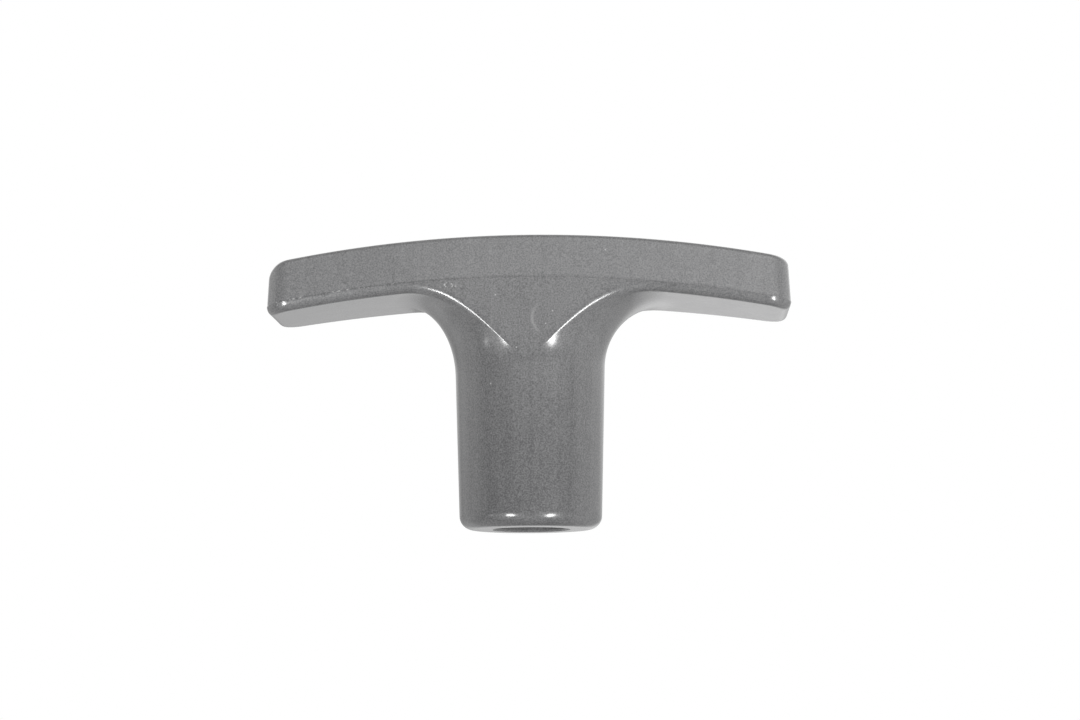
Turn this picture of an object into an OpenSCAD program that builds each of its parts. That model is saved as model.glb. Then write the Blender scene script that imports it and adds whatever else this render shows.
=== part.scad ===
// Waste valve handle: a one-piece moulded T handle that screws on to the end of a valve's pull rod.
// The stem stands on its flat end ring at z = 0, the bore runs up it, and the grip lies along X on top.
// The mould opens along Z. Above the parting line the grip leans in, and below it rounds under.
// The stem flares into the grip, more fully on the right than on the left.
// The grip's front and back walls run down and trim the flare flat.
// All lengths are in millimetres and all angles in degrees.

/* [Grip] */
// Length of the grip along X, at the parting line
grip_length = 76.2; // [60:0.1:110]
// Depth of the grip along Y, in the middle
grip_depth = 22.5; // [18:0.1:30]
// Depth of the grip along Y, at its two ends
grip_end_depth = 17.4; // [12:0.1:18]
// Thickness of the grip from its top to its underside
grip_thickness = 7.5; // [6:0.1:12]
// Radius of the arch that the grip is bent to, seen from the front
arch_radius = 214; // [120:1:400]
// Height of the parting line above the underside
parting_height = 1.4; // [1.4:0.05:2.5]
// Lean of the grip's walls above the parting line
upper_draft = 3.2; // [1:0.1:6]
// Lean of the walls below the parting line
lower_draft = 1.2; // [0.5:0.1:2]

/* [Rounded edges] */
// Radius of the grip's four upright corners
corner_radius = 3.8; // [3:0.1:5]
// Radius of the grip's lower edge
lower_edge_radius = 1.35; // [0.8:0.05:1.35]
// Radius of the grip's upper edge along the front and back
upper_edge_radius = 0.6; // [0.3:0.1:1]
// Radius of the grip's upper edge across the left end
left_end_radius = 2.1; // [1:0.1:3]
// Radius of the grip's upper edge across the right end
right_end_radius = 0.9; // [0.6:0.1:3]
// Radius of the edge where the grip's walls trim the flare
web_edge_radius = 1.8; // [0.5:0.1:2]
// Radius of the outer edge at the end of the stem
stem_edge_radius = 2; // [0.5:0.1:2.4]

/* [Stem] */
// Height of the whole handle, from the end ring to the top of the arch
handle_height = 41.8; // [38:0.1:60]
// Diameter of the stem at its end
stem_diameter = 20.7; // [18:0.1:21]
// Widening of the stem towards the grip, on each side
stem_draft = 1.5; // [0.5:0.05:1.6]

/* [Flare] */
// How far the flare spreads outward under the grip, on the left
left_flare_spread = 8.5; // [6:0.1:12]
// How far the flare spreads outward under the grip, on the right
right_flare_spread = 10.6; // [6:0.1:12]
// How far below the grip the flare begins, on the left
left_flare_height = 11.7; // [8:0.1:14]
// How far below the grip the flare begins, on the right
right_flare_height = 10.4; // [8:0.1:14]

/* [Rod socket] */
// Diameter of the clearance bore at the mouth of the socket
clearance_diameter = 11; // [8:0.1:13]
// Depth of the clearance bore
clearance_depth = 9; // [4:0.5:14]
// Diameter of the hole under the thread crests, for a 1/4-20 thread
thread_core_diameter = 5.1; // [4:0.05:7]
// Length of the threaded hole beyond the clearance bore
thread_length = 16; // [10:0.5:18]
// Width of the bevel at the mouth of each bore
mouth_bevel = 0.3; // [0.2:0.1:0.8]
// Angle of the cone that the core pin leaves at the bottom of the hole
hole_tip_angle = 118; // [90:1:140]

/* [Hidden] */

// Columns of points run up the skin. A quarter of the outline has these steps along its front and corner.
front_steps = 18;
corner_steps = 5;
quarter_steps = front_steps + corner_steps;
columns = 4 * quarter_steps + 2;
// Rows of points along each stretch of a column
flare_rows = 13;
edge_rows = 4;
// Steps that settle the place where a column meets the wall
settle_steps = 8;
// How far the bores' cutters reach past the face that they open on
overshoot = 1;
// Least step outward from the stem, which keeps the columns apart
least_step = 0.05;
// Least share of the flare that its round leaves standing
least_flare_share = 0.6;
// Place on the flare where the web's radius begins to turn into the grip's, which it meets at the underside
radius_change_start = 0.6;
// Least reach of the lower round from its sharp edge, where the flare and the wall are nearly in line
least_reach = 0.12;

half_length = grip_length / 2;
half_depth = grip_depth / 2;
top_z = handle_height;
underside_z = top_z - grip_thickness;
parting_z = underside_z + parting_height;
stem_radius = stem_diameter / 2;

// The grip's front is an arc about a point behind it, and a corner circle touches that arc and the end.
bow = (grip_depth - grip_end_depth) / 2;
bow_radius = (half_length * half_length + bow * bow) / (2 * bow);
bow_centre = [0, bow_radius - half_depth];
corner_x = half_length - corner_radius;
corner_y = bow_centre.y - sqrt(pow(bow_radius - corner_radius, 2) - corner_x * corner_x);
corner_centre = [corner_x, corner_y];
corner_start = atan2(corner_y - bow_centre.y, corner_x);

// The outline at the parting line, as [point, outward normal], for step k of the front right quarter
function bow_place(k) =
    let (a = -90 + (corner_start + 90) * k / front_steps, n = [cos(a), sin(a)])
    [bow_centre + bow_radius * n, n];
function corner_place(k) =
    let (a = corner_start * (1 - k / corner_steps), n = [cos(a), sin(a)])
    [corner_centre + corner_radius * n, n];
function quarter_place(k) = k <= front_steps ? bow_place(k) : corner_place(k - front_steps);
function mirrored(place, sx, sy) = [for (v = place) [v.x * sx, v.y * sy]];
function outline_place(i) =
    i <= quarter_steps ? quarter_place(i)
    : i <= 2 * quarter_steps + 1 ? mirrored(quarter_place(2 * quarter_steps + 1 - i), 1, -1)
    : i <= 3 * quarter_steps + 1 ? mirrored(quarter_place(i - 2 * quarter_steps - 1), -1, -1)
    : mirrored(quarter_place(columns - i), -1, 1);

// The flare's [spread, height] at an angle round the stem goes smoothly from the left's to the right's
function between(left, right, angle) = (left + right) / 2 + (right - left) / 2 * cos(angle);
function flare_size(angle) = [
    between(left_flare_spread, right_flare_spread, angle),
    between(left_flare_height, right_flare_height, angle)
];

// A flare f is a quarter of an ellipse on the tapered stem, then the flat underside.
// Its place q runs from 0 at the foot to 1 at the underside, and on past 1 along the underside.
function flare_angle(q) = 90 * min(q, 1);
function flare_length(f) = PI / 2 * sqrt((f.x * f.x + f.y * f.y) / 2);
function flare_z(f, q) = underside_z - f.y + f.y * sin(flare_angle(q));
function stem_radius_at(z) = stem_radius + z * tan(stem_draft);
function flare_radius(f, q) =
    stem_radius_at(flare_z(f, q)) + f.x * (1 - cos(flare_angle(q))) + max(q - 1, 0) * flare_length(f);

// The place q at which the flare has a given radius, found by repeating one step
function flare_place(f, radius) =
    let (reach = flare_radius(f, 1))
    radius >= reach ? 1 + (radius - reach) / flare_length(f) : settled_place(f, radius, 0.5, settle_steps);
function settled_place(f, radius, q, left) =
    left == 0 ? q
    : let (cosine = 1 - (radius - stem_radius_at(flare_z(f, q))) / f.x)
      settled_place(f, radius, acos(min(cosine, 1)) / 90, left - 1);

// The arch: how far the grip has sunk at a distance from the middle, faded out down the flare
function arch_drop(x) = arch_radius - sqrt(arch_radius * arch_radius - x * x);
function arch_share(f, z) = min(max((z - underside_z + f.y) / f.y, 0), 1);
function bent(f, p) = [p.x, p.y, p.z - arch_drop(p.x) * arch_share(f, p.z)];

// A round between two faces: an arc that leaves a towards the sharp edge e, and ends at c
function unit(v) = v / norm(v);
function arc_point(a, e, c, t) =
    let (
        w = sqrt(max(1 + unit(e - a) * unit(c - e), 0) / 2),
        wa = (1 - t) * (1 - t),
        we = 2 * w * t * (1 - t),
        wc = t * t
    )
    (wa * a + we * e + wc * c) / (wa + we + wc);
function arc_rows(a, e, c) = [for (j = [0 : edge_rows]) arc_point(a, e, c, j / edge_rows)];

// The wall below the parting line, and above it, at a height: the outline stepped in by the draft
function wall_point(place, z) =
    let (step = z < parting_z ? (parting_z - z) * tan(lower_draft) : (z - parting_z) * tan(upper_draft))
    let (p = place[0] - step * place[1])
    [p.x, p.y, z];

// The end of the stem: a round that touches the end ring and the tapered stem
end_centre = stem_radius + stem_edge_radius * tan(stem_draft) - stem_edge_radius / cos(stem_draft);
function end_rows(angle) = [
    for (j = [0 : edge_rows])
        let (a = -90 + (90 - stem_draft) * j / edge_rows, r = end_centre + stem_edge_radius * cos(a))
        [r * cos(angle), r * sin(angle), stem_edge_radius * (1 + sin(a))]
];

// Where a column's flare meets the wall, as [plan direction, radius, place q]
function meeting(f, place, q = 1, left = 3) =
    let (
        p = wall_point(place, flare_z(f, q)),
        radius = max(norm([p.x, p.y]), flare_radius(f, 0) + least_step),
        next_q = flare_place(f, radius)
    )
    left == 0 ? [atan2(p.y, p.x), radius, next_q] : meeting(f, place, next_q, left - 1);

// Radius of the lower round: the web's radius turns into the grip's
function lower_radius(q) =
    let (s = min(max((q - radius_change_start) / (1 - radius_change_start), 0), 1))
    web_edge_radius + (lower_edge_radius - web_edge_radius) * s * s * (3 - 2 * s);

// The flare's run outward and upward, per unit of q
function flare_run(f, q) =
    q >= 1 ? [flare_length(f), 0] : PI / 2 * [f.x * sin(flare_angle(q)), f.y * cos(flare_angle(q))];

// How steep the flare is at its edge, in an upright section square to the wall
function edge_steepness(f, place, meet) =
    let (outward = [cos(meet[0]), sin(meet[0])], run = flare_run(f, meet[2]))
    atan2(run.y * (outward * place[1]), run.x);

// How far the lower round reaches from its sharp edge, along the flare and up the wall alike
function lower_reach(q, steepness) = max(lower_radius(q) * tan((90 - steepness) / 2), least_reach);

// Where the lower round leaves the flare, as [plan point, place q], at a distance back from the edge
function round_start(f, place, meet, back) =
    let (
        p = meet[1] * [cos(meet[0]), sin(meet[0])] - back * place[1],
        radius = max(norm(p), flare_radius(f, meet[2] * least_flare_share))
    )
    [radius * unit(p), flare_place(f, radius)];

// A point of the flare: seen from above, a column runs straight from the stem to the round's start
function flare_point(f, foot, way, q) =
    let (
        r = flare_radius(f, q),
        a = way * way,
        b = foot * way,
        p = foot + (sqrt(b * b + a * (r * r - foot * foot)) - b) / a * way
    )
    [p.x, p.y, flare_z(f, q)];

// How far the upper round reaches: the side's radius turns into the end's round the corner
function upper_reach(n) =
    upper_edge_radius + ((n.x < 0 ? left_end_radius : right_end_radius) - upper_edge_radius) * n.x * n.x;

// One column of the skin, from the end ring up to the top face
function column(i) =
    let (
        angle = -90 + 360 * i / columns,
        f = flare_size(angle),
        place = outline_place(i),
        meet = meeting(f, place),
        steepness = edge_steepness(f, place, meet),
        low = lower_reach(meet[2], steepness),
        start = round_start(f, place, meet, low * cos(steepness)),
        foot = flare_radius(f, 0) * [cos(angle), sin(angle)],
        way = start[0] - foot,
        low_edge = [meet[1] * cos(meet[0]), meet[1] * sin(meet[0]), flare_z(f, meet[2])],
        low_end = wall_point(place, low_edge.z + low),
        high = upper_reach(place[1]),
        high_start = wall_point(place, top_z - high),
        high_edge = wall_point(place, top_z),
        high_end = high_edge - high * [place[1].x, place[1].y, 0],
        rows = concat(
            end_rows(angle),
            [for (j = [0 : flare_rows - 1]) flare_point(f, foot, way, start[1] * j / flare_rows)],
            arc_rows(flare_point(f, foot, way, start[1]), low_edge, low_end),
            [wall_point(place, parting_z)],
            arc_rows(high_start, high_edge, high_end)
        )
    )
    [for (p = rows) bent(f, p)];

// The skin is wound round its columns, closed by the end ring below and straight strips across the top.
module skin() {
    grid = [for (i = [0 : columns - 1]) column(i)];
    rows = len(grid[0]);
    points = [for (c = grid) each c];
    last = rows - 1;
    function at(i, j) = (i % columns) * rows + j;
    sides = [
        for (i = [0 : columns - 1], j = [0 : last - 1])
            each [
                [at(i, j), at(i, j + 1), at(i + 1, j + 1)],
                [at(i, j), at(i + 1, j + 1), at(i + 1, j)]
            ]
    ];
    top_right = [
        for (k = [0 : quarter_steps - 1])
            let (b = 2 * quarter_steps + 1 - k)
            each [
                [at(k, last), at(b, last), at(b - 1, last)],
                [at(k, last), at(b - 1, last), at(k + 1, last)]
            ]
    ];
    top_left = [
        for (k = [0 : quarter_steps - 1])
            let (f = columns - k, b = 2 * quarter_steps + 1 + k)
            each [
                [at(f, last), at(b + 1, last), at(b, last)],
                [at(f, last), at(f - 1, last), at(b + 1, last)]
            ]
    ];
    ring = [[for (i = [0 : columns - 1]) at(i, 0)]];
    polyhedron(points, concat(sides, top_right, top_left, ring));
}

// The socket: a clearance bore with a bevelled mouth, then the threaded hole and its conical tip
module socket() {
    clearance = clearance_diameter / 2;
    core = thread_core_diameter / 2;
    hole_end = clearance_depth + thread_length;
    tip = core / tan(hole_tip_angle / 2);
    bore_profile = [
        [0, -overshoot],
        [clearance + mouth_bevel + overshoot, -overshoot],
        [clearance, mouth_bevel],
        [clearance, clearance_depth],
        [core + mouth_bevel, clearance_depth],
        [core, clearance_depth + mouth_bevel],
        [core, hole_end],
        [0, hole_end + tip]
    ];
    rotate_extrude($fn = 96) polygon(bore_profile);
}

module handle() {
    color("dimgray")
        difference() {
            skin();
            socket();
        }
}

handle();
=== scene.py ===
# %% [markdown]
# # A pull handle for a waste valve
#
# The handle is one moulding of grey plastic: an arched grip, a round stem that flares into it, and a
# socket in the stem's end that screws on to a valve's pull rod. The frame gives its true size, and this
# lesson gives it its looks: one smooth closed mesh, a satin plastic, a pale floor, soft light and a
# camera that looks up at the grip from low down.

# %% Load the frame
import math

import bpy
import numpy as np
from mathutils import Matrix, Vector


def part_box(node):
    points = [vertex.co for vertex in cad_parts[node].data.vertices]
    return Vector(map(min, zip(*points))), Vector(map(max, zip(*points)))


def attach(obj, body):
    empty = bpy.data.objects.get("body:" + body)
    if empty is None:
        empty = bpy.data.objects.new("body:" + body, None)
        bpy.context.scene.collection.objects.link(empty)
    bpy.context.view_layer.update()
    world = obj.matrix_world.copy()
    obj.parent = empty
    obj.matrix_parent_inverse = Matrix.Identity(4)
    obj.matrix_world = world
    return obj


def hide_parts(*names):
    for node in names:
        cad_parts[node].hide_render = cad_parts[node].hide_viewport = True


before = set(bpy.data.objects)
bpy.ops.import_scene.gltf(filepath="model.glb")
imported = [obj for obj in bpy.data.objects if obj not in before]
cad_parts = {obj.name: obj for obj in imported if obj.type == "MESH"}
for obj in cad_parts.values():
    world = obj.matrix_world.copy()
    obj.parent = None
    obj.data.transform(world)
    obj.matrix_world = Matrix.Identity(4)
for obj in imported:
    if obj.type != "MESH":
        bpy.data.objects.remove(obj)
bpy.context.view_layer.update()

# %% [markdown]
# ## The driving sizes
#
# The frame is in metres, with the stem's end ring on z = 0 and the grip along X. Its box gives the
# overall length, depth and height. The other sizes are those of the moulding: the thickness of the
# grip, its rounds and drafts, and the flare's spread and height on the left and on the right. They could
# be read from the frame's mesh, but named values are easier to read and to change.

# %% Name the sizes
MM = 0.001
INCH = 25.4 * MM
handle_low, handle_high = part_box("handle")
half_length = handle_high.x
half_depth = handle_high.y
top_z = handle_high.z

grip_end_depth = 17.4 * MM
grip_thickness = 7.5 * MM
arch_radius = 214 * MM
parting_height = 1.4 * MM
upper_draft = math.radians(3.2)
lower_draft = math.radians(1.2)

corner_radius = 3.8 * MM
lower_edge_radius = 1.35 * MM
upper_edge_radius = 0.6 * MM
left_end_radius = 2.1 * MM
right_end_radius = 0.9 * MM
web_edge_radius = 1.8 * MM
stem_edge_radius = 2.0 * MM

stem_radius = 20.7 * MM / 2
stem_draft = math.radians(1.5)
flare_spread = {"left": 8.5 * MM, "right": 10.6 * MM}
flare_height = {"left": 11.7 * MM, "right": 10.4 * MM}

underside_z = top_z - grip_thickness
parting_z = underside_z + parting_height
print(f"Grip {2 * half_length / MM:.1f} by {2 * half_depth / MM:.1f} mm, top at {top_z / MM:.1f} mm")

# %% [markdown]
# ## The outline of the grip
#
# Seen from above, the grip is a long shape with bowed sides: an arc along the front, a corner circle
# that touches it, and a straight end. It could be drawn as a curve and filled, but the skin needs a
# ring of points with an outward normal at each, so that every later row can be set in or out from it.
# Only the front right quarter is worked out. The other three are its mirror images.

# %% Draw a quarter of the outline and mirror it
front_steps = 72
corner_steps = 16
end_steps = 4
quarter_steps = front_steps + corner_steps + end_steps
columns = 4 * quarter_steps

bow = half_depth - grip_end_depth / 2
bow_radius = (half_length ** 2 + bow ** 2) / (2 * bow)
bow_centre = np.array([0.0, bow_radius - half_depth])
corner_x = half_length - corner_radius
corner_y = bow_centre[1] - math.sqrt((bow_radius - corner_radius) ** 2 - corner_x ** 2)
corner_start = math.atan2(corner_y - bow_centre[1], corner_x)


def spokes(angles):
    """Unit vectors in plan at these angles."""
    return np.stack([np.cos(angles), np.sin(angles)], axis=1)


bow_normals = spokes(np.linspace(-math.pi / 2, corner_start, front_steps + 1))
corner_normals = spokes(np.linspace(corner_start, 0, corner_steps + 1)[1:])
end_normals = spokes(np.zeros(end_steps))
end_y = np.linspace(corner_y, 0, end_steps + 1)[1:]
quarter_points = np.concatenate([
    bow_centre + bow_radius * bow_normals,
    np.array([corner_x, corner_y]) + corner_radius * corner_normals,
    np.stack([np.full(end_steps, half_length), end_y], axis=1),
])
quarter_normals = np.concatenate([bow_normals, corner_normals, end_normals])


def mirrored_round(quarter):
    """The whole ring, anticlockwise from the middle of the front, from its front right quarter."""
    back = quarter[::-1] * [1, -1]
    return np.concatenate([quarter[:-1], back[:-1], -quarter[:-1], -back[:-1]])


outline = mirrored_round(quarter_points)
normals = mirrored_round(quarter_normals)
print(f"The outline has {len(outline)} points")

# %% [markdown]
# ## The flare
#
# The stem is a tapered cylinder that opens out under the grip like the bell of a horn. Its profile is a
# quarter of an ellipse that leaves the stem along its wall and reaches the grip's underside level, and
# then the flat underside itself. A lathe could turn it, but on this handle it spreads further on the
# right than on the left, so the ellipse's two half axes change smoothly round the stem. A place on the
# profile is a number q: 0 at the foot, 1 where the underside is reached, and more than 1 along it.

# %% Describe the flare's profile
place_repeats = 10
stem_angles = -math.pi / 2 + np.linspace(0, 2 * math.pi, columns, endpoint=False)
stem_spokes = spokes(stem_angles)


def round_the_stem(sizes):
    """A size for each column, which goes smoothly from the left's to the right's."""
    middle = (sizes["left"] + sizes["right"]) / 2
    return middle + (sizes["right"] - sizes["left"]) / 2 * np.cos(stem_angles)


spreads = round_the_stem(flare_spread)
heights = round_the_stem(flare_height)
profile_lengths = math.pi / 2 * np.sqrt((spreads ** 2 + heights ** 2) / 2)


def bell_angle(q):
    """The angle round the ellipse at a place on the profile."""
    return math.pi / 2 * np.minimum(q, 1)


def flare_z(q):
    return underside_z - heights + heights * np.sin(bell_angle(q))


def stem_radius_at(z):
    return stem_radius + z * math.tan(stem_draft)


def flare_radius(q):
    swell = spreads * (1 - np.cos(bell_angle(q)))
    return stem_radius_at(flare_z(q)) + swell + np.maximum(q - 1, 0) * profile_lengths


def flare_place(radius):
    """The place q at which each column's profile has this radius, found by repeating one step."""
    q = np.full(columns, 0.5)
    for _ in range(place_repeats):
        cosine = np.clip(1 - (radius - stem_radius_at(flare_z(q))) / spreads, -1, 1)
        q = np.minimum(np.arccos(cosine) / (math.pi / 2), 1)
    reach = flare_radius(np.ones(columns))
    return np.where(radius >= reach, 1 + (radius - reach) / profile_lengths, q)


flare_starts = (underside_z - heights) / MM
print(f"The flare starts {flare_starts.min():.1f} to {flare_starts.max():.1f} mm up")

# %% [markdown]
# ## Where the grip's walls trim the flare
#
# The grip is about as deep as the stem is wide, so its front and back walls run straight down and cut
# the flare off. That gives the handle its flat web with an edge like a deep V. A Boolean cut would
# leave a sharp edge that has to be bevelled afterwards, and bevels on such an edge tear. Here every
# column of points finds its own meeting with the wall: it guesses a height, sees how far out the wall
# is there, looks up where the flare is as wide as that, and repeats.

# %% Find the edge where each column meets the wall
least_step = 0.05 * MM
edge_repeats = 5


def at_height(plan, z):
    """Points with these places in plan, at one height or a height each."""
    return np.column_stack([plan, np.broadcast_to(z, len(plan))])


def wall(z):
    """The grip's wall at a height: the outline, set in by the draft below or above the parting line."""
    z = np.broadcast_to(z, columns)
    inset_below = (parting_z - z) * math.tan(lower_draft)
    inset_above = (z - parting_z) * math.tan(upper_draft)
    inset = np.where(z < parting_z, inset_below, inset_above)
    return at_height(outline - inset[:, None] * normals, z)


def lengths(vectors):
    return np.linalg.norm(vectors, axis=1)


def unit(vectors):
    return vectors / lengths(vectors)[:, None]


least_radius = flare_radius(np.zeros(columns)) + least_step
edge_q = np.ones(columns)
for _ in range(edge_repeats):
    edge = wall(flare_z(edge_q))
    edge_radius = np.maximum(lengths(edge[:, :2]), least_radius)
    edge_q = flare_place(edge_radius)
edge_spokes = unit(edge[:, :2])
edge = at_height(edge_radius[:, None] * edge_spokes, flare_z(edge_q))
print(f"The web's edge reaches down to {edge[:, 2].min() / MM:.1f} mm above the floor")

# %% [markdown]
# ## The round in the corner
#
# The mould's edge was eased, so flare and wall meet in a round: 1.35 mm along the grip, growing to
# 1.8 mm down the web. A bevel modifier could do that with a weight on every edge. Here each column
# works it out: how steep the flare is at its edge, and from that how far back along the flare and how
# far up the wall its round reaches.

# %% Find where each column's round starts
least_flare_share = 0.6
least_reach = 0.12 * MM
radius_change_start = 0.6


def smooth_step(t):
    """0 up to 0, 1 from 1 on, and smooth between."""
    t = np.clip(t, 0, 1)
    return t * t * (3 - 2 * t)


radius_change = smooth_step((edge_q - radius_change_start) / (1 - radius_change_start))
lower_radius = web_edge_radius + (lower_edge_radius - web_edge_radius) * radius_change

on_bell = edge_q < 1
outward_run = np.where(on_bell, math.pi / 2 * spreads * np.sin(bell_angle(edge_q)), profile_lengths)
upward_run = np.where(on_bell, math.pi / 2 * heights * np.cos(bell_angle(edge_q)), 0)
squareness = np.sum(edge_spokes * normals, axis=1)
steepness = np.arctan2(upward_run * squareness, outward_run)
lower_reach = np.maximum(lower_radius * np.tan((math.pi / 2 - steepness) / 2), least_reach)
setback = lower_reach * np.cos(steepness)

start = edge[:, :2] - setback[:, None] * normals
start_radius = np.maximum(lengths(start), flare_radius(edge_q * least_flare_share))
start_q = flare_place(start_radius)
start = start_radius[:, None] * unit(start)
print(f"The rounds reach {lower_reach.min() / MM:.2f} to {lower_reach.max() / MM:.2f} mm up the wall")

# %% [markdown]
# ## The skin, row by row
#
# A real handle is moulded in one shot, so its skin has no joins. A stem and a grip modelled apart would
# have to be fused, and the fusion would show. So each column of points runs up from the end ring, over
# the stem's rounded end, up the flare, round the lower edge, up the wall, over the parting line and
# round the upper edge. A row is one point from every column. A round is written as a curve with three
# control points: where it starts, the sharp corner that it cuts, and where it ends. The lower round
# stops one row short of its end, because the parting line's foot begins there, and rows must never
# turn back on themselves.

# %% Lay the rows of the stem and the flare
round_rows = 10
flare_rows = 56
foot = flare_radius(np.zeros(columns))[:, None] * stem_spokes
way = start - foot


def arc(first, corner, last, steps):
    """Rows of points along a round from first to last, which cuts the corner."""
    straightness = np.sum(unit(corner - first) * unit(last - corner), axis=1)
    weight = np.sqrt(np.maximum(1 + straightness, 0) / 2)[:, None]
    rows = []
    for t in np.linspace(0, 1, steps + 1):
        a, b, c = (1 - t) ** 2, 2 * weight * t * (1 - t), t ** 2
        rows.append((a * first + b * corner + c * last) / (a + b + c))
    return rows


def flare_row(q):
    """One row of the flare. Seen from above, each column runs straight from the stem to its round."""
    a = np.sum(way * way, axis=1)
    b = np.sum(foot * way, axis=1)
    c = flare_radius(q) ** 2 - np.sum(foot * foot, axis=1)
    share = (np.sqrt(b * b + a * c) - b) / a
    return at_height(foot + share[:, None] * way, flare_z(q))


end_ring_radius = stem_radius + stem_edge_radius * (math.tan(stem_draft) - 1 / math.cos(stem_draft))
stem_end = []
for angle in np.linspace(-math.pi / 2, -stem_draft, round_rows + 1):
    radius = end_ring_radius + stem_edge_radius * math.cos(angle)
    stem_end.append(at_height(radius * stem_spokes, stem_edge_radius * (1 + math.sin(angle))))

flare = [flare_row(start_q * share) for share in np.linspace(0, 1, flare_rows + 1)[:-1]]
lower_round = arc(flare_row(start_q), edge, wall(edge[:, 2] + lower_reach), round_rows)[:-1]
print(f"{len(stem_end)} rows round the stem's end and {len(flare)} up the flare")
print(f"{len(lower_round)} rows round the lower edge")

# %% [markdown]
# ## The parting line
#
# The two halves of the mould meet round the grip, 1.4 mm above its underside, and leave a hair of flash
# there. A painted line would look flat when the light moves, so it is a real ridge: two rows stand out
# from the wall, by an amount that wanders round the grip. The wander is a sum of waves that fit whole
# times round the outline, so that it closes on itself and is the same on every run. A guard row a
# twentieth of a millimetre beyond each foot keeps the shading of the wall flat right up to the ridge.

# %% Lay the rows of the parting line
flash_half_width = 0.07 * MM
flash_foot = 0.16 * MM
flash_height = 0.045 * MM
flash_wander = 0.035 * MM
guard = 0.05 * MM
wave_counts = (7, 17, 41, 89)

turns = np.linspace(0, 2 * math.pi, columns, endpoint=False)
waves = sum(np.sin(count * turns + count) for count in wave_counts) / len(wave_counts)
flash = flash_height + flash_wander * waves


def stood_out(row, amounts):
    """A row moved outward, by an amount for each column."""
    return row + np.column_stack([amounts[:, None] * normals, np.zeros(columns)])


below_flash = wall(parting_z - flash_foot - guard)
above_flash = wall(parting_z + flash_foot + guard)
flash_rows = [
    below_flash,
    wall(parting_z - flash_foot),
    stood_out(wall(parting_z - flash_half_width), flash),
    stood_out(wall(parting_z + flash_half_width), flash),
    wall(parting_z + flash_foot),
    above_flash,
]
print(f"The flash stands {flash.min() / MM:.3f} to {flash.max() / MM:.3f} mm proud")

# %% [markdown]
# ## The upper edge and the walls
#
# The upper edge has a fine round along the front and the back, and a larger one at each end, most of
# all at the left. A bevel modifier would need a weight on every edge for that too. The round's reach
# here is the fine one plus a share that grows as the wall turns towards the end. The walls between the
# rounds and the parting line are plain, so a few evenly spaced rows are enough.

# %% Lay the rows of the upper edge and the walls
wall_rows = 6


def rows_between(first, last, steps):
    """Rows strictly between two others, evenly spaced."""
    return [first + (last - first) * share for share in np.linspace(0, 1, steps + 1)[1:-1]]


end_radii = np.where(normals[:, 0] < 0, left_end_radius, right_end_radius)
upper_reach = upper_edge_radius + (end_radii - upper_edge_radius) * normals[:, 0] ** 2
upper_edge = wall(top_z)
upper_end = stood_out(upper_edge, -upper_reach)
upper_round = arc(wall(top_z - upper_reach), upper_edge, upper_end, round_rows)
upper_round.append(stood_out(upper_end, np.full(columns, -guard)))

wall_part = (
    rows_between(lower_round[-1], below_flash, wall_rows)
    + flash_rows
    + rows_between(above_flash, upper_round[0], wall_rows)
)
print(f"{len(wall_part)} rows up the wall and {len(upper_round)} round the upper edge")

# %% [markdown]
# ## The arch
#
# The grip isn't straight: it is bent down on both sides, along an arc of 214 mm radius. A curve
# modifier could bend the finished mesh, but it would bend the stem too. So each point sinks by the drop
# of the arc at its place along the grip, and the bend fades out down the flare.

# %% Bend the rows to the arch


def bent(row):
    """A row sunk by the arch's drop, in full on the grip and not at all on the stem."""
    drop = arch_radius - np.sqrt(arch_radius ** 2 - row[:, 0] ** 2)
    share = np.clip((row[:, 2] - underside_z + heights) / heights, 0, 1)
    return row - np.column_stack([np.zeros((columns, 2)), drop * share])


skin_rows = [bent(row) for row in stem_end + flare + lower_round + wall_part + upper_round]
print(f"The skin has {len(skin_rows)} rows of {columns} points")

# %% [markdown]
# ## The socket
#
# The rod's end goes up into the stem. First comes a clearance bore with a small bevel at its mouth,
# which shows as a dark circle in the photo, and beyond it a female thread of 1/4 in with 20 turns to
# the inch, in a hole that ends in a cone. A screw modifier could sweep the thread, but it would have to
# be joined to the bore with a Boolean. Here the hole is more rows of points, each with a radius that
# the thread cuts into: the groove's place depends on the height and the angle, and climbs to the right.
# Its profile is the standard one: three quarters of a pitch wide at the hole's wall, and an eighth at
# its bottom.

# %% Lay the rows of the socket
clearance_radius = 11 * MM / 2
clearance_depth = 9 * MM
core_radius = 5.1 * MM / 2
thread_radius = INCH / 4 / 2
thread_pitch = INCH / 20
thread_length = 16 * MM
mouth_bevel = 0.3 * MM
tip_half_angle = math.radians(118) / 2
columns_per_groove_column = 4
rows_per_turn = 18
groove_half_width = 3 / 8
flank_width = 5 / 16

groove_angles = stem_angles[::columns_per_groove_column]
groove_spokes = spokes(groove_angles)
hole_end = clearance_depth + thread_length
thread_start = clearance_depth + mouth_bevel


def groove_row(z):
    """One row of the threaded hole: how deep the groove is at each angle, faded out at both ends."""
    phase = (z / thread_pitch - groove_angles / (2 * math.pi)) % 1
    groove = np.clip((groove_half_width - np.abs(phase - 0.5)) / flank_width, 0, 1)
    fade_in = smooth_step((z - thread_start) / (thread_pitch / 2))
    fade_out = smooth_step((hole_end - z) / thread_pitch)
    radius = core_radius + (thread_radius - core_radius) * groove * fade_in * fade_out
    return at_height(radius[:, None] * groove_spokes, z)


def circle(radius, z, around):
    return at_height(radius * around, z)


thread_rows_total = round(rows_per_turn * (hole_end - thread_start) / thread_pitch)
thread_rows = [groove_row(z) for z in np.linspace(hole_end, thread_start, thread_rows_total + 1)]
thread_rows.append(circle(core_radius + mouth_bevel, clearance_depth, groove_spokes))
tip = np.array([[0, 0, hole_end + core_radius / math.tan(tip_half_angle)]])

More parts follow.
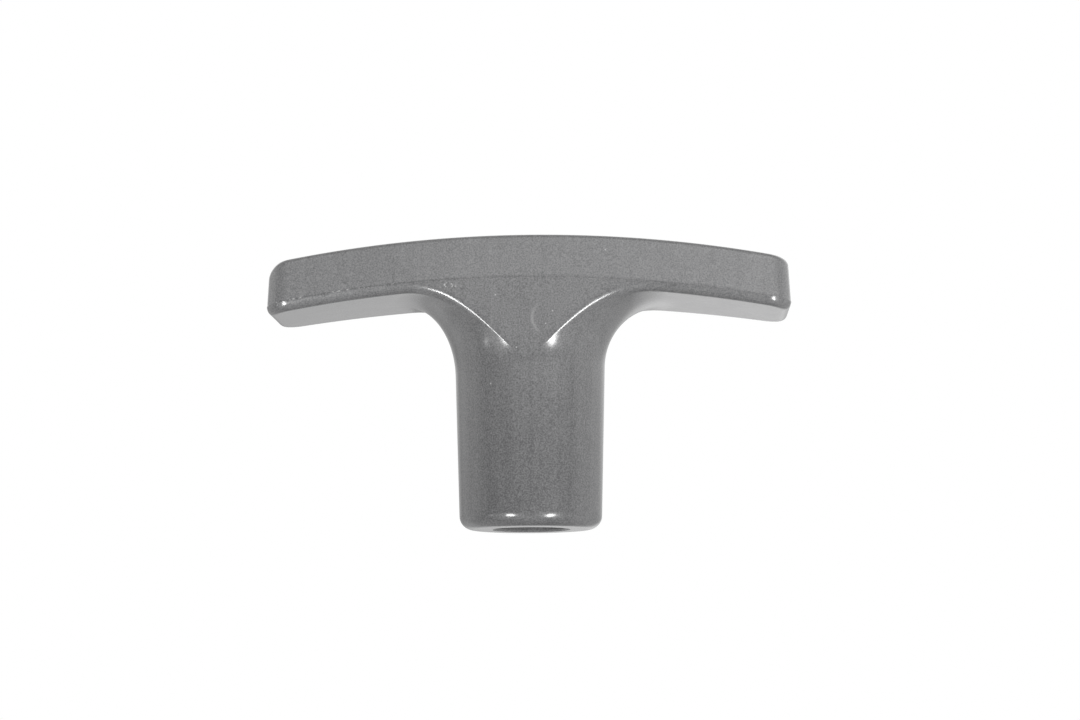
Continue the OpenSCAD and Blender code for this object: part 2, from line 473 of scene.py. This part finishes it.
bore_rows = [
    circle(clearance_radius, clearance_depth, stem_spokes),
    circle(clearance_radius, mouth_bevel, stem_spokes),
    circle(clearance_radius + mouth_bevel, 0, stem_spokes),
    circle(clearance_radius + mouth_bevel + guard, 0, stem_spokes),
    circle(end_ring_radius - guard, 0, stem_spokes),
]
print(f"The hole has {len(thread_rows)} rows of {len(groove_angles)} points")
print(f"The thread makes {thread_length / thread_pitch:.1f} turns")

# %% [markdown]
# ## One closed mesh
#
# The rows are joined in one sweep, from the tip of the hole down its wall, out across the end ring and
# up the skin, so that every face looks outward. Four columns of the skin go to one column of the thread
# at the flat step between the bores. The top could be one face with hundreds of corners, but it is
# arched, so it is closed by strips that run from the front to the back, in which direction it is flat.
# The larger round at the left end sets the top's outline in there, so that it bulges at the corners and
# strips would fold over each other. The last few millimetres at each end are therefore one face.

# %% Join the rows into faces
points = np.concatenate([tip, *thread_rows, *bore_rows, *skin_rows])
faces = []
narrow = len(groove_angles)
first_narrow = 1
first_wide = first_narrow + narrow * len(thread_rows)
wide_rows = len(bore_rows) + len(skin_rows)


def join(lower, upper, count):
    """Quads between two rings of the same count, which start at these points."""
    for i in range(count):
        following = (i + 1) % count
        faces.append((lower + i, lower + following, upper + following, upper + i))


for i in range(narrow):
    faces.append((0, first_narrow + (i + 1) % narrow, first_narrow + i))
for row in range(len(thread_rows) - 1):
    join(first_narrow + row * narrow, first_narrow + (row + 1) * narrow, narrow)

last_narrow = first_wide - narrow
for i in range(narrow):
    nearest = columns_per_groove_column * i
    wide = [first_wide + (nearest + k) % columns for k in range(columns_per_groove_column + 1)]
    faces.append((last_narrow + i, last_narrow + (i + 1) % narrow, *wide[::-1]))
for row in range(wide_rows - 1):
    join(first_wide + row * columns, first_wide + (row + 1) * columns, columns)

rim = first_wide + (wide_rows - 1) * columns
half_round = 2 * quarter_steps
end_face_steps = 12
strips = front_steps + corner_steps - end_face_steps
for k in range(strips):
    right = (k, k + 1, half_round - k - 1, half_round - k)
    left = (-k - 1, -k, half_round + k, half_round + k + 1)
    for corners in (right, left):
        faces.append([rim + corner % columns for corner in corners])

half_face = end_steps + end_face_steps
for middle in (quarter_steps, 3 * quarter_steps):
    faces.append([rim + middle + k for k in range(-half_face, half_face + 1)])
print(f"{len(points)} points, {len(faces)} faces")

# %% [markdown]
# ## The handle
#
# The faces become the one visible piece, which takes the place of the frame's handle. Flat shading
# would show each small face, and smooth shading alone would blur the bores' rims, so faces are smooth
# and edges that turn by more than 35 degrees stay sharp. A skin that was joined by hand can be open
# somewhere: each edge has to have exactly two faces, and a count proves that it does.

# %% Make the handle and prove that it is closed
sharp_angle = math.radians(35)
mesh = bpy.data.meshes.new("handle_skin")
mesh.from_pydata(points.tolist(), [], faces)
mesh.validate()
mesh.shade_smooth()
mesh.set_sharp_from_angle(angle=sharp_angle)
handle = bpy.data.objects.new("handle_skin", mesh)
bpy.context.scene.collection.objects.link(handle)

edge_uses = np.zeros(len(mesh.edges), int)
np.add.at(edge_uses, [loop.edge_index for loop in mesh.loops], 1)
open_edges = int(np.sum(edge_uses != 2))
print(f"{len(mesh.polygons)} faces, {open_edges} edges without exactly two faces")

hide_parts("handle")
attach(handle, "root")

# %% [markdown]
# ## Shader maths as expressions
#
# A finish is a small sum over the surface: a base, plus grain, plus a mark. Wiring that by hand hides
# the formula, so one small class wraps an output socket and lets Python's own operators add the Math
# nodes. Any other node comes from one method, which takes the node's type, its settings and what goes
# into its sockets, and the few kinds that come up again have a short method of their own.

# %% Wrap a socket so that formulas read as formulas


class Signal:
    """An output socket of a node tree. Sums and products of signals add Math nodes."""

    def __init__(self, tree, socket=None):
        self.tree = tree
        self.socket = socket

    def add(self, kind, settings, inputs, output=0):
        """A new node, as the signal that leaves it. Its settings are made first, then its sockets."""
        node = self.tree.nodes.new(kind)
        for name, value in settings.items():
            setattr(node, name, value)
        for name, value in inputs.items():
            if isinstance(value, Signal):
                self.tree.links.new(value.socket, node.inputs[name])
            else:
                node.inputs[name].default_value = value
        return Signal(self.tree, node.outputs[output] if node.outputs else None)

    def maths(self, operation, *terms):
        return self.add("ShaderNodeMath", {"operation": operation}, dict(enumerate(terms)))

    def __add__(self, other):
        return self.maths("ADD", self, other)

    __radd__ = __add__

    def __sub__(self, other):
        return self.maths("SUBTRACT", self, other)

    def __rsub__(self, other):
        return self.maths("SUBTRACT", other, self)

    def __mul__(self, other):
        return self.maths("MULTIPLY", self, other)

    __rmul__ = __mul__

    def highest(self, other):
        return self.maths("MAXIMUM", self, other)

    def absolute(self):
        """This signal without its sign."""
        return self.maths("ABSOLUTE", self)

    def vector(self, operation, other, output=0):
        """A Vector Math node on this signal and another vector."""
        return self.add("ShaderNodeVectorMath", {"operation": operation}, {0: self, 1: other}, output)

    def along(self, axis):
        """How far this vector reaches along an axis."""
        return self.vector("DOT_PRODUCT", axis, "Value")

    def distance(self, point):
        """How far this place is from a point."""
        return self.vector("DISTANCE", point, "Value")

    def ramp(self, start, end):
        """0 where this signal is at most start, 1 where it is at least end, and smooth between."""
        limits = {"Value": self, "From Min": start, "From Max": end}
        return self.add("ShaderNodeMapRange", {"interpolation_type": "SMOOTHSTEP"}, limits)


def empty_tree(owner):
    """The cleared node tree of a material or a world, ready for the first node."""
    owner.use_nodes = True
    owner.node_tree.nodes.clear()
    return Signal(owner.node_tree)


print("Signals are ready")

# %% [markdown]
# ## Grey moulded plastic
#
# The finish is a mid grey with a soft gloss: the mould was polished but not to a mirror, so lamps show
# as soft spots, and a fine grain breaks them up. A flat colour would look like a drawing, and a picture
# wrapped round the handle would stretch at the flare. So the finish is worked out in space, from each
# point's place on the handle: a slow mottle where the melt flowed, a grain of a fifth of a millimetre,
# a slight ripple, and faint upright drag lines, because the stem slid out of its mould that way.

# %% Lay the plastic's mottle, grain, ripple and drag lines
mottle_size = 5 * MM
grain_size = 0.21 * MM
ripple_size = 1.1 * MM
drag_width = 0.9 * MM
drag_stretch = 0.012


def noise(place, size, detail):
    """A smooth noise from -0.5 to 0.5, whose features are about this many metres across."""
    inputs = {"Vector": place, "Scale": 1 / size, "Detail": detail}
    return place.add("ShaderNodeTexNoise", {"noise_dimensions": "3D"}, inputs) - 0.5


plastic = bpy.data.materials.new("satin_grey_plastic")
tree = empty_tree(plastic)
place = tree.add("ShaderNodeTexCoord", {}, {}, "Object")
drawn_out = place.vector("MULTIPLY", (1, 1, drag_stretch))
mottle = noise(place, mottle_size, detail=2)
grain = noise(place, grain_size, detail=1)
ripple = noise(place, ripple_size, detail=1)
drag = noise(drawn_out, drag_width, detail=3)
print("Mottle, grain, ripple and drag lines are ready")

# %% [markdown]
# ## The small marks on the web and the grip, and a painted highlight
#
# Three marks make the moulding look like a real one. The gate, where the melt was let in, left a shallow
# round witness on the web. The witness isn't in the mesh: the glint on its left edge is a painted
# highlight, a pale arc in the colour. A patch of tiny pale pits lies beside the web's upper left edge,
# where the mould was worn, and a few lone specks are spread over the front. Each could be a decal, but
# they are only distances: how far a point is from the mark's middle, turned into a soft mask that is 1
# on the mark and 0 away from it.

# %% Draw the gate's painted highlight, the pits and the specks
gate_middle = (3.4 * MM, -half_depth, 29.7 * MM)
gate_radius = 2.55 * MM
gate_line_width = 0.38 * MM
gate_side = (1.1 * MM, -half_depth, 29.5 * MM)
gate_side_reach = 3.2 * MM
pits_flatness = 3
pits_middle = (-11.2 * MM, -half_depth, 34.5 * MM * pits_flatness)
pits_reach = 2.2 * MM
pit_size = 0.3 * MM
pit_levels = (0.1, 0.22)
speck_places_mm = ((11.4, 39.4), (-4.4, 33.0), (3.8, 30.6), (2.8, 28.8), (-1.4, 25.4), (-5.2, 20.4))
speck_radius = 0.16 * MM


def mask_below(value, full, none):
    """1 where the value is at most full, 0 where it is at least none, and smooth between."""
    return 1 - value.ramp(full, none)


on_gate_circle = mask_below((place.distance(gate_middle) - gate_radius).absolute(), 0, gate_line_width)
# painted highlight: the lit left edge of the gate's witness, put into the colour as a pale arc
painted_gate_glint = on_gate_circle * mask_below(place.distance(gate_side), 0, gate_side_reach)

flattened = place.vector("MULTIPLY", (1, 1, pits_flatness))
near_pits = mask_below(flattened.distance(pits_middle), 0, pits_reach)
pits = near_pits * noise(place, pit_size, detail=0).ramp(*pit_levels)

seen_flat = place.vector("MULTIPLY", (1, 0, 1))
pale_spots = pits
for across, up in speck_places_mm:
    from_speck = seen_flat.distance((across * MM, 0, up * MM))
    pale_spots = pale_spots.highest(mask_below(from_speck, 0, speck_radius))
print(len(speck_places_mm), "lone specks")

# %% [markdown]
# ## Painted shade and painted highlights along the parting line
#
# The parting line shows as a thin dark line on the left, with pale flecks, and it fades out towards the
# middle. Both are painted into the colour: the dark line is painted shade, the flash's shadow in the
# crease beside it, and the flecks are painted highlights where the flash catches the light. A line
# drawn as a curve would have to be wrapped on to the wall. Here it is a distance again: how far a point
# is from the parting line's height, once the drop of the arch is added back.

# %% Draw the parting line's painted shade and painted highlights
crease_inner = 0.05 * MM
crease_outer = 0.13 * MM
crease_fade = (-18 * MM, 6 * MM)
fleck_size = 0.45 * MM
fleck_levels = (0.08, 0.2)
fleck_fade = (-26 * MM, -14 * MM)

across_grip = place.along((1, 0, 0))
upward = place.along((0, 0, 1))
arch_drop = across_grip * across_grip * (1 / (2 * arch_radius))
from_parting = (upward + arch_drop - parting_z).absolute()
# painted shade: the flash's shadow, a thin dark line in the colour beside it
painted_parting_line = mask_below(from_parting, crease_inner, crease_outer) * mask_below(across_grip, *crease_fade)
flash_glint_spots = noise(place, fleck_size, detail=0).ramp(*fleck_levels)
# painted highlights: pale flecks where the flash catches the light
painted_flash_glints = painted_parting_line * flash_glint_spots * mask_below(across_grip, *fleck_fade)
print(f"The crease is {2 * crease_inner / MM:.1f} mm wide, and soft up to {2 * crease_outer / MM:.2f} mm")

# %% [markdown]
# ## The finish on the handle
#
# The parts come together in three sums: the shade between a dark and a pale grey, the roughness, and a
# relief of about two thousandths of a millimetre for the bump. The shade holds painted shade too: the
# plastic gets slightly darker down the stem, where the light falls off, and along the parting line. The
# marks are on the front alone and scuff the plastic paler, and the painted highlights on the gate's edge
# and the flash go there too. The rest of the shine could be painted on as pale spots, but it comes from
# the roughness and the lamps alone, so the finish looks right in other light too.

# %% Put the finish on the handle
plastic_dark = (0.078, 0.078, 0.080, 1)
plastic_pale = (0.168, 0.168, 0.170, 1)
# the pale of the real marks, and of the painted highlights on the gate's edge and the flash
mark_and_glint_pale = (0.36, 0.36, 0.36, 1)
plastic_ior = 1.57
middle_shade = 0.5
mottle_share = 0.25
grain_share = 1.9
drag_share = 0.35
crease_shade_share = 0.3
falloff_shade_share = 0.25
foot_low = 3 * MM
foot_high = 30 * MM
foot_balance = 0.7
gate_glint_strength = 0.3
flash_glint_strength = 0.7
plastic_roughness = 0.19
roughness_change = 0.06
grain_height = 0.0022 * MM
ripple_height = 0.002 * MM
MIX_FIRST_COLOUR = 6
MIX_SECOND_COLOUR = 7
MIX_COLOUR_RESULT = 2


def mixed(share, first, second):
    """A colour that goes from the first to the second as the share goes from 0 to 1."""
    inputs = {"Factor": share, MIX_FIRST_COLOUR: first, MIX_SECOND_COLOUR: second}
    return share.add("ShaderNodeMix", {"data_type": "RGBA"}, inputs, MIX_COLOUR_RESULT)


texture = mottle_share * mottle + grain_share * grain + drag_share * drag
# painted shade: the plastic darkens down the stem, where the light falls off
painted_falloff_shade = falloff_shade_share * (upward.ramp(foot_low, foot_high) - foot_balance)
# real mottle, grain and drag, less the painted shade down the stem and along the parting line
tone_and_painted_shade = middle_shade + texture + painted_falloff_shade - crease_shade_share * painted_parting_line
on_front = place.along((0, -1, 0)).ramp(0, half_depth / 2)
# the real pits and specks, with the painted highlights of the gate's edge and the flash
marks_and_glints = on_front * pale_spots.highest(gate_glint_strength * painted_gate_glint).highest(flash_glint_strength * painted_flash_glints)
relief = grain_height * grain + ripple_height * ripple
surface = tree.add("ShaderNodeBsdfPrincipled", {}, {
    "Base Color": mixed(marks_and_glints, mixed(tone_and_painted_shade, plastic_dark, plastic_pale), mark_and_glint_pale),
    "Roughness": plastic_roughness + roughness_change * (mottle + grain + drag),
    "Normal": tree.add("ShaderNodeBump", {}, {"Height": relief, "Strength": 1, "Distance": 1}),
    "IOR": plastic_ior,
})
tree.add("ShaderNodeOutputMaterial", {}, {"Surface": surface})
handle.data.materials.append(plastic)
print("Finish:", plastic.name, "on", handle.name)

# %% [markdown]
# ## The floor
#
# The photo shows the handle on pure white, with the camera lower than the handle's foot, so the camera
# looks up through the floor. A plain white sheet would hide the handle from it. This floor shows only
# from above, where it carries the object's shadow. From below it is clear, and it neither stops light
# nor shows in the plastic, so the surroundings reach the handle from below too.

# %% Lay the floor
floor_size = 6.0
floor_drop = 0.1 * MM
floor_colour = (0.8, 0.8, 0.8, 1)

floor_mesh = bpy.data.meshes.new("floor")
half_floor = floor_size / 2
corner_signs = ((-1, -1), (1, -1), (1, 1), (-1, 1))
floor_corners = [(x * half_floor, y * half_floor, -floor_drop) for x, y in corner_signs]
floor_mesh.from_pydata(floor_corners, [], [(0, 1, 2, 3)])
floor = bpy.data.objects.new("floor", floor_mesh)
bpy.context.scene.collection.objects.link(floor)
floor.visible_shadow = False
floor.visible_glossy = False
floor.visible_diffuse = False

floor_material = bpy.data.materials.new("floor")
tree = empty_tree(floor_material)
from_below = tree.add("ShaderNodeNewGeometry", {}, {}, "Backfacing")
painted = tree.add("ShaderNodeBsdfDiffuse", {}, {"Color": floor_colour})
clear = tree.add("ShaderNodeBsdfTransparent", {}, {})
shown = tree.add("ShaderNodeMixShader", {}, {0: from_below, 1: painted, 2: clear})
tree.add("ShaderNodeOutputMaterial", {}, {"Surface": shown})
floor_mesh.materials.append(floor_material)
print(f"Floor {floor_size} m wide")

# %% [markdown]
# ## The surroundings
#
# Satin plastic shows what stands round it, softly: pale panels in front, at the sides and behind, a
# ceiling that grows brighter upward, a dark band at the horizon in front, and white paper behind, which
# the grip's underside reflects at a grazing angle. The dark band is why the grip is lighter above its
# parting line: the wall leans back there and shows the ceiling, and below it leans forward and shows the
# band. A picture of a studio could be wrapped round the world, but a short table of soft round patches
# is easier to read and to change: the direction of each as the handle sees it, how wide it is, and how
# bright compared with white paper. The camera itself sees plain white.

# %% Name the panels
front_panels = (
    # azimuth, elevation, inner angle, outer angle, brightness
    (40, 22, 5, 35, 1.30),
    (10, 12, 5, 28, 0.50),
    (-10, 22, 5, 35, 0.50),
    (-38, -33, 0, 38, 0.85),
    (41, -26, 0, 36, 0.75),
    (15, -70, 8, 42, 0.30),
)
side_and_back_panels = (
    (-105, 2, 8, 35, 0.85),
    (105, 2, 8, 35, 0.25),
    (120, -10, 20, 70, 0.68),
    (-148, -12, 5, 35, 0.50),
    (-130, -42, 5, 40, 0.45),
    (180, 45, 20, 55, 0.80),
)
paper_behind = (
    (180, -18, 5, 22, 0.80),
    (172, -7, 2, 14, 0.50),
)
print(len(front_panels + side_and_back_panels + paper_behind), "panels round the handle")

# %% Set the surroundings
ceiling_brightness = 0.6
ceiling_start = -0.02
ceiling_end = 0.35
band_middle = -0.025
band_inner = 0.01
band_outer = 0.16
band_patch = (0, 0, 65, 100)


def towards(azimuth, elevation):
    """A direction as the handle sees it: 0, 0 is straight in front, and azimuths grow to the right."""
    across = math.radians(azimuth)
    up = math.radians(elevation)
    return Vector((math.sin(across) * math.cos(up), -math.cos(across) * math.cos(up), math.sin(up)))


world = bpy.data.worlds.new("surroundings")
bpy.context.scene.world = world
tree = empty_tree(world)
direction = tree.add("ShaderNodeTexCoord", {}, {}, "Generated")


def patch(azimuth, elevation, inner, outer):
    """A soft round patch: 1 within the inner angle of its middle, and 0 beyond the outer one."""
    nearness = direction.along(towards(azimuth, elevation))
    return nearness.ramp(math.cos(math.radians(outer)), math.cos(math.radians(inner)))


def panels(table):
    """The light of every patch in a table, added up."""
    return sum(brightness * patch(*where) for *where, brightness in table)


rise = direction.along((0, 0, 1))
in_band = mask_below((rise - band_middle).absolute(), band_inner, band_outer) * patch(*band_patch)
ceiling = ceiling_brightness * rise.ramp(ceiling_start, ceiling_end)
room = (1 - in_band) * (ceiling + panels(front_panels)) + panels(side_and_back_panels)
camera_ray = tree.add("ShaderNodeLightPath", {}, {}, "Is Camera Ray")
through_ray = tree.add("ShaderNodeLightPath", {}, {}, "Is Transmission Ray")
glossy_ray = tree.add("ShaderNodeLightPath", {}, {}, "Is Glossy Ray")
white = camera_ray.highest(through_ray).highest(glossy_ray * panels(paper_behind))
level = white + (1 - white) * room
light = tree.add("ShaderNodeBackground", {}, {"Color": (1, 1, 1, 1), "Strength": level})
tree.add("ShaderNodeOutputWorld", {}, {"Surface": light})
print("Surroundings:", world.name)

# %% [markdown]
# ## The lamps
#
# Three soft lamps add the highlights, and all stand in front and below the handle's level. The left and
# the right one put the bright lines on the web's edge and the spots on the ends of the grip and the
# stem. A small dim one, far round to the left, adds a faint spot on the flare's left side. They could be
# bright patches of the world, but small bright patches tend to make a render noisy, and area lamps
# don't. Each is described as the handle sees it: azimuth, elevation, width and height in degrees, and
# brightness compared with white paper, which here sends out pi watts from each square metre.

# %% Place the lamps
handle_middle = Vector((0, 0, (handle_low.z + handle_high.z) / 2))
lamp_distance = 1.2
lamps = (
    # name, azimuth, elevation, width, height, brightness
    ("left_lamp", -32, -26.5, 12, 18, 31),
    ("right_lamp", 37, -29, 12, 26, 27),
    ("far_left_lamp", -65, -18, 5, 7, 7),
)


def lamp_size(angle):
    """How wide a lamp has to be to look this many degrees wide from the handle."""
    return 2 * lamp_distance * math.tan(math.radians(angle) / 2)


for name, azimuth, elevation, width, tallness, brightness in lamps:
    outward = towards(azimuth, elevation)
    data = bpy.data.lights.new(name, "AREA")
    data.shape = "ELLIPSE"
    data.size = lamp_size(width)
    data.size_y = lamp_size(tallness)
    area = math.pi / 4 * data.size * data.size_y
    data.energy = brightness * math.pi * area
    lamp = bpy.data.objects.new(name, data)
    lamp.location = handle_middle + lamp_distance * outward
    lamp.rotation_euler = outward.to_track_quat("Z", "Y").to_euler()
    lamp.visible_camera = False
    bpy.context.scene.collection.objects.link(lamp)
    print(f"{name}: {data.size:.2f} by {data.size_y:.2f} m, {data.energy:.1f} W")

# %% [markdown]
# ## The camera
#
# The photo looks up at the grip from in front and a little to the right, with a long lens: the
# underside of the grip shows, and the end ring is a thin line. A camera could be placed by eye, but then
# each edge would be a little off. Its place and turn were found by fitting the handle's edges to the
# photo, and its lens is worked out for a frame 1080 pixels wide.

# %% Place the camera
frame_width = 1080
sensor_width = 36
focal_pixels = 2582.1
camera_place = Vector((18.154, -376.233, -23.339)) * MM
camera_pan = math.radians(-2.540)
camera_tilt = math.radians(7.304)
camera_roll = math.radians(-0.309)

camera_data = bpy.data.cameras.new("camera")
camera_data.sensor_width = sensor_width
camera_data.lens = focal_pixels * sensor_width / frame_width
camera = bpy.data.objects.new("camera", camera_data)
turn = (
    Matrix.Rotation(-camera_pan, 4, "Z")
    @ Matrix.Rotation(math.pi / 2 + camera_tilt, 4, "X")
    @ Matrix.Rotation(camera_roll, 4, "Z")
)
camera.matrix_world = Matrix.Translation(camera_place) @ turn
bpy.context.scene.collection.objects.link(camera)
bpy.context.scene.camera = camera
bpy.context.scene.view_settings.view_transform = "Standard"
print(f"Lens {camera_data.lens:.1f} mm")
